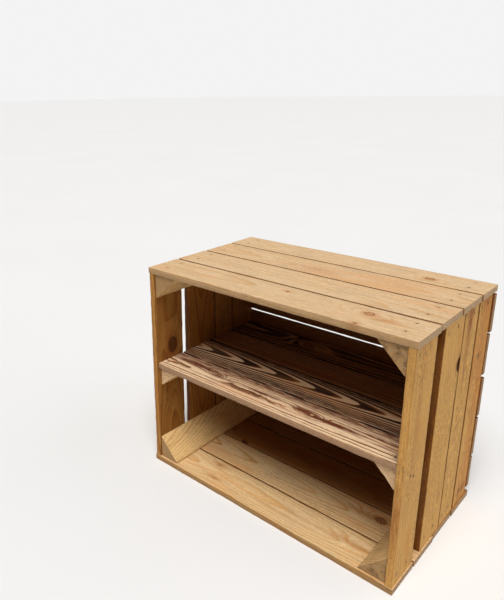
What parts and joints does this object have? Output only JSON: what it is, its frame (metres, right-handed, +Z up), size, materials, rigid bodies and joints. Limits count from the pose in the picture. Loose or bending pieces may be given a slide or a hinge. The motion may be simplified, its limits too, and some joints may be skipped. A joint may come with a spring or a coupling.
{
  "type": "apple crate",
  "caption": "Slatted wooden fruit crate on its side, open at the front, with triangular corner posts, an inner shelf and a full-height handle gap in each end.",
  "frame": {"origin": "middle of the footprint, on the ground under the bottom boards", "axes": "+X along the long side, to the right when facing the open front; +Y from the open front to the back; +Z up"},
  "size_m": [0.5, 0.3, 0.4],
  "materials": {
    "pine_board": "sawn, unfinished",
    "scorched_pine": "scorched and brushed",
    "sawn_post": "rough sawn",
    "fastener_steel": "dull, darkened"
  },
  "bodies": {
    "root": {"top_board_1": "pine_board", "top_board_2": "pine_board", "top_board_3": "pine_board", "top_board_4": "pine_board", "bottom_board_1": "pine_board", "bottom_board_2": "pine_board", "bottom_board_3": "pine_board", "bottom_board_4": "pine_board", "left_end_board_1": "pine_board", "left_end_board_2": "pine_board", "left_end_board_3": "pine_board", "left_end_board_4": "pine_board", "right_end_board_1": "pine_board", "right_end_board_2": "pine_board", "right_end_board_3": "pine_board", "right_end_board_4": "pine_board", "back_board_1": "pine_board", "back_board_2": "pine_board", "back_board_3": "pine_board", "back_board_4": "pine_board", "back_board_5": "pine_board", "shelf_board_1": "scorched_pine", "shelf_board_2": "scorched_pine", "shelf_board_3": "scorched_pine", "shelf_board_4": "scorched_pine", "corner_post_top_left": "sawn_post", "corner_post_top_right": "sawn_post", "corner_post_bottom_left": "sawn_post", "corner_post_bottom_right": "sawn_post", "shelf_strip_left": "sawn_post", "shelf_strip_right": "sawn_post", "top_nails": "fastener_steel", "bottom_nails": "fastener_steel", "left_end_nails": "fastener_steel", "right_end_nails": "fastener_steel", "back_nails": "fastener_steel", "shelf_staples": "fastener_steel"}
  },
  "joints": []
}
